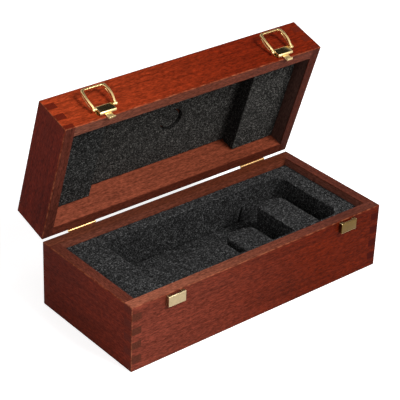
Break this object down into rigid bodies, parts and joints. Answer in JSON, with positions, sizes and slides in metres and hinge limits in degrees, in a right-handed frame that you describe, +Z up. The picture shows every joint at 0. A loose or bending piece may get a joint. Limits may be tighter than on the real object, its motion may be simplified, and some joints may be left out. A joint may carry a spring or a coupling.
{
  "type": "microphone case",
  "caption": "Finger-jointed wooden case with a hinged lid, draw latches and cut foam that beds a microphone and its fittings.",
  "frame": {"origin": "middle of the base's underside, on the surface that the case stands on", "axes": "+X along the case to the right end, +Y towards the hinged back, +Z up"},
  "size_m": [0.305, 0.1832, 0.2205],
  "materials": {
    "base_wood": "satin",
    "lid_wood": "satin",
    "foam": "matte",
    "hinge_brass": "satin",
    "screw_brass": "satin",
    "latch_brass": "polished"
  },
  "bodies": {
    "base": {"base_front_wall": "base_wood", "base_back_wall": "base_wood", "base_left_wall": "base_wood", "base_right_wall": "base_wood", "base_bottom_panel": "base_wood", "base_foam_floor": "foam", "base_foam_frame": "foam", "base_foam_rest_left": "foam", "base_foam_rest_middle": "foam", "base_foam_rest_right": "foam", "keeper_left": "latch_brass", "keeper_right": "latch_brass", "hinge_base_leaf_left": "hinge_brass", "hinge_base_leaf_right": "hinge_brass", "hinge_pin_left": "hinge_brass", "hinge_pin_right": "hinge_brass", "hinge_base_screws": "screw_brass"},
    "lid": {"lid_front_wall": "lid_wood", "lid_back_wall": "lid_wood", "lid_left_wall": "lid_wood", "lid_right_wall": "lid_wood", "lid_top_panel": "lid_wood", "lid_foam_pad": "foam", "lid_foam_plug": "foam", "lid_foam_block_left": "foam", "lid_foam_block_right": "foam", "hinge_lid_leaf_left": "hinge_brass", "hinge_lid_leaf_right": "hinge_brass", "hinge_lid_screws": "screw_brass", "latch_plate_left": "latch_brass", "latch_plate_right": "latch_brass", "latch_rivets_left": "latch_brass", "latch_rivets_right": "latch_brass", "latch_plate_screws": "screw_brass"},
    "lever_left": {"latch_lever_left": "latch_brass", "latch_hook_pin_left": "latch_brass"},
    "lever_right": {"latch_lever_right": "latch_brass", "latch_hook_pin_right": "latch_brass"},
    "hook_left": {"latch_hook_left": "latch_brass"},
    "hook_right": {"latch_hook_right": "latch_brass"}
  },
  "joints": [
    {"name": "lid_hinge", "type": "hinge", "parent": "base", "child": "lid", "pos_m": [0, 0.06985, 0.06915], "axis": [-1, 0, 0], "range_deg": [-73, 107]},
    {"name": "lever_left_pivot", "type": "hinge", "parent": "lid", "child": "lever_left", "pos_m": [-0.1046, 0.03754, 0.2075], "axis": [1, 0, 0], "range_deg": [0, 110]},
    {"name": "lever_right_pivot", "type": "hinge", "parent": "lid", "child": "lever_right", "pos_m": [0.1074, 0.03754, 0.2075], "axis": [1, 0, 0], "range_deg": [0, 110]},
    {"name": "hook_left_pivot", "type": "hinge", "parent": "lever_left", "child": "hook_left", "pos_m": [-0.1046, 0.03952, 0.20724], "axis": [1, 0, 0], "range_deg": [-98.5, 0]},
    {"name": "hook_right_pivot", "type": "hinge", "parent": "lever_right", "child": "hook_right", "pos_m": [0.1074, 0.03952, 0.20724], "axis": [1, 0, 0], "range_deg": [-98.5, 0]}
  ],
  "couplings": [
    {"joint": "hook_left_pivot", "follows": "lever_left_pivot", "ratio": -0.895},
    {"joint": "hook_right_pivot", "follows": "lever_right_pivot", "ratio": -0.895}
  ]
}
